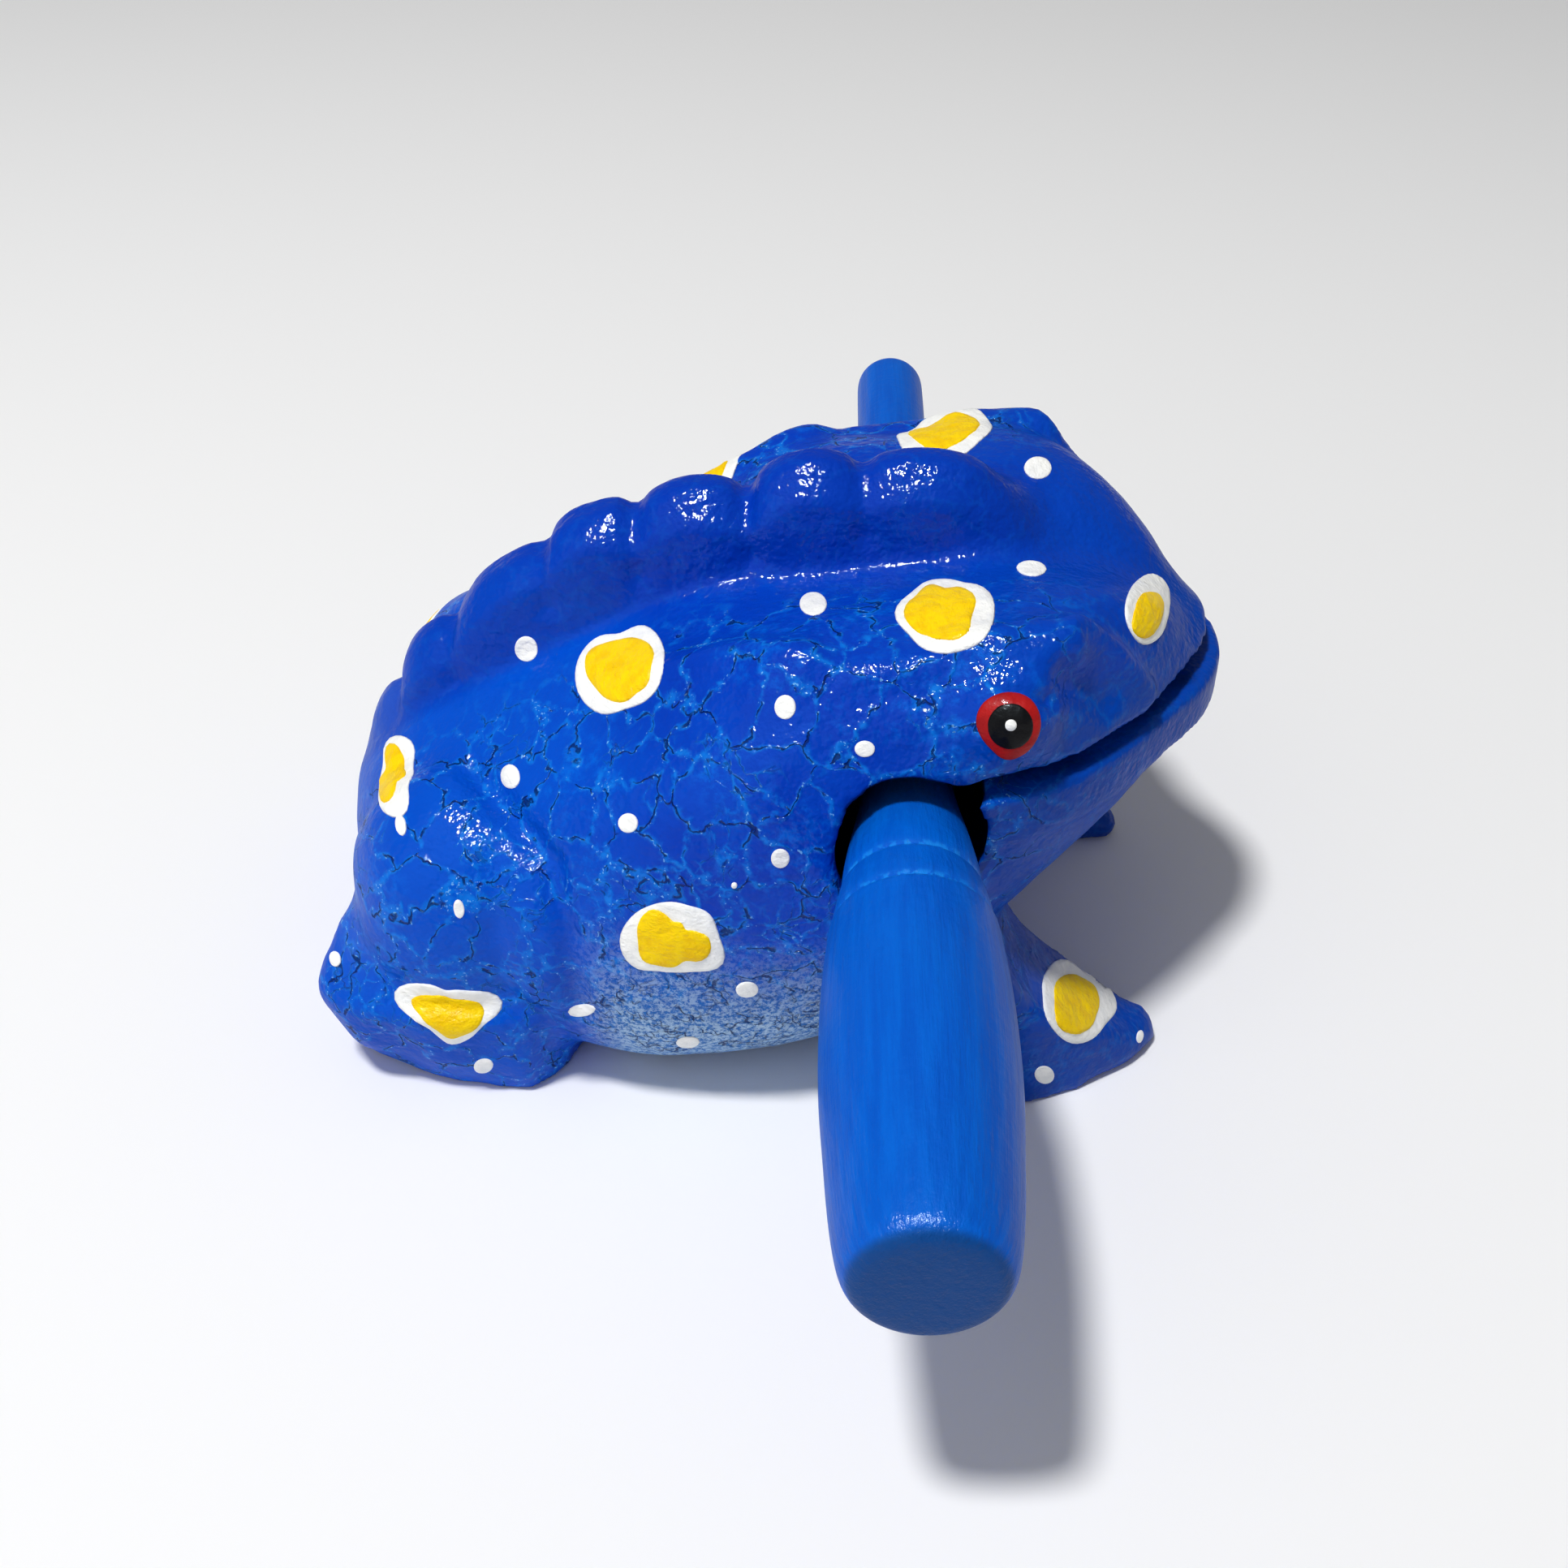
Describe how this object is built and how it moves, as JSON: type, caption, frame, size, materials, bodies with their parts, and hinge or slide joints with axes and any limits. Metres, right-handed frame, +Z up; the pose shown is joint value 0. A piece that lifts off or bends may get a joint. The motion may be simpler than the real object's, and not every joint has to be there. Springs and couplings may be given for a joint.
{
  "type": "frog guiro",
  "caption": "Carved hollow wooden frog with a scalloped back fin, scraped or tapped with the turned stick that is stored through its mouth.",
  "frame": {"origin": "on the ground under the middle of the frog, halfway from rump to snout, in its plane of symmetry", "axes": "+X towards the snout, +Y to the frog's left, +Z up; the stick lies along Y with its handle on the frog's right"},
  "size_m": [0.1, 0.1605, 0.066],
  "materials": {
    "painted_wood": "deep blue gloss paint with a fine crackle, painted spots and eyes",
    "stained_wood": "blue satin stain that shows the lathe-turned grain"
  },
  "bodies": {
    "frog_body": {"frog_body": "painted_wood"},
    "stick": {"stick": "stained_wood"}
  },
  "joints": [
    {"name": "stick_slide", "type": "slide", "parent": "frog_body", "child": "stick", "axis": [0, -1, 0], "range_m": [0, 0.12]}
  ]
}
